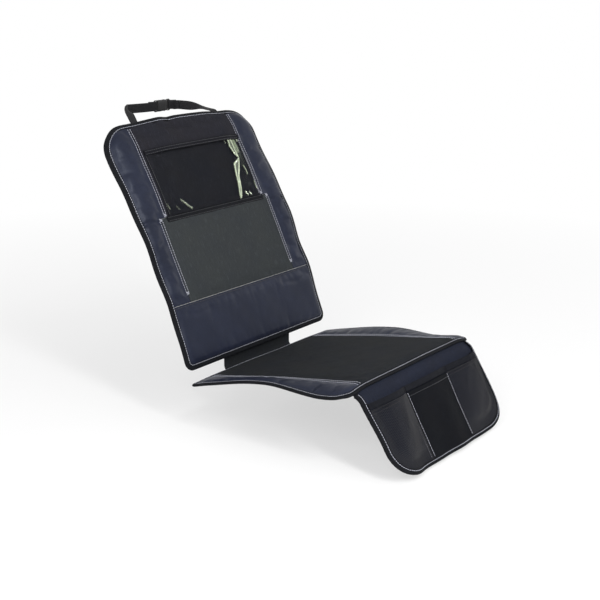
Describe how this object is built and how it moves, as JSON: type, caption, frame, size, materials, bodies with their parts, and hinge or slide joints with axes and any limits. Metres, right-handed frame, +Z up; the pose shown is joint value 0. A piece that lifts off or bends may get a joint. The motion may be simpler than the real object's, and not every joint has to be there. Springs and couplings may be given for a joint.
{
  "type": "car seat protector",
  "caption": "Padded mat laid on a car seat under a child seat, with a clear tablet pocket on its back, a front flap with storage pockets and a buckled head strap.",
  "frame": {"origin": "in the crease of the car seat, under the middle of the seat section's rear edge", "axes": "+X across the seat to the right as seen from the front, +Y to the rear, +Z up; the seat section runs forward from the origin and the back section leans to the rear above it"},
  "size_m": [0.47, 0.8119, 0.6263],
  "materials": {
    "leatherette": "smooth coated cloth with a soft sheen",
    "woven_fabric": "ribbed woven polyester",
    "lining_cloth": "plain lining cloth",
    "grip_cloth": "cloth with a grippy coating",
    "foam": "soft foam, hidden inside",
    "binding_tape": "woven edge tape",
    "elastic_tape": "elastic tape",
    "clear_film": "clear soft film",
    "net": "open knitted net",
    "webbing": "woven webbing",
    "buckle_plastic": "moulded, satin"
  },
  "bodies": {
    "mat": {"back_lining": "lining_cloth", "back_foam": "foam", "back_binding": "binding_tape", "back_wing_left": "leatherette", "back_wing_right": "leatherette", "back_upper_panel": "woven_fabric", "back_lower_panel": "woven_fabric", "back_foot_patch": "leatherette", "window_film": "clear_film", "window_gusset_left": "woven_fabric", "window_gusset_right": "woven_fabric", "window_gusset_foot": "woven_fabric", "window_foot_band": "binding_tape", "window_hem": "binding_tape", "seat_lining": "grip_cloth", "seat_foam": "foam", "seat_binding": "binding_tape", "seat_side_left": "leatherette", "seat_side_right": "leatherette", "seat_middle_panel": "woven_fabric", "flap_panel": "woven_fabric", "flap_binding": "binding_tape", "net_pocket_left": "net", "net_pocket_hem_left": "elastic_tape", "net_pocket_right": "net", "net_pocket_hem_right": "elastic_tape", "middle_pocket": "woven_fabric", "middle_pocket_hem": "elastic_tape", "neck_strip": "woven_fabric", "strap_left": "webbing", "strap_right": "webbing", "buckle_socket": "buckle_plastic"},
    "buckle_plug": {"buckle_plug": "buckle_plastic", "buckle_prong_upper": "buckle_plastic", "buckle_prong_lower": "buckle_plastic"}
  },
  "joints": [
    {"name": "buckle_release", "type": "slide", "parent": "mat", "child": "buckle_plug", "axis": [1, 0, 0], "range_m": [0, 0.024], "deforming": ["strap_right", "buckle_prong_upper", "buckle_prong_lower"]}
  ]
}
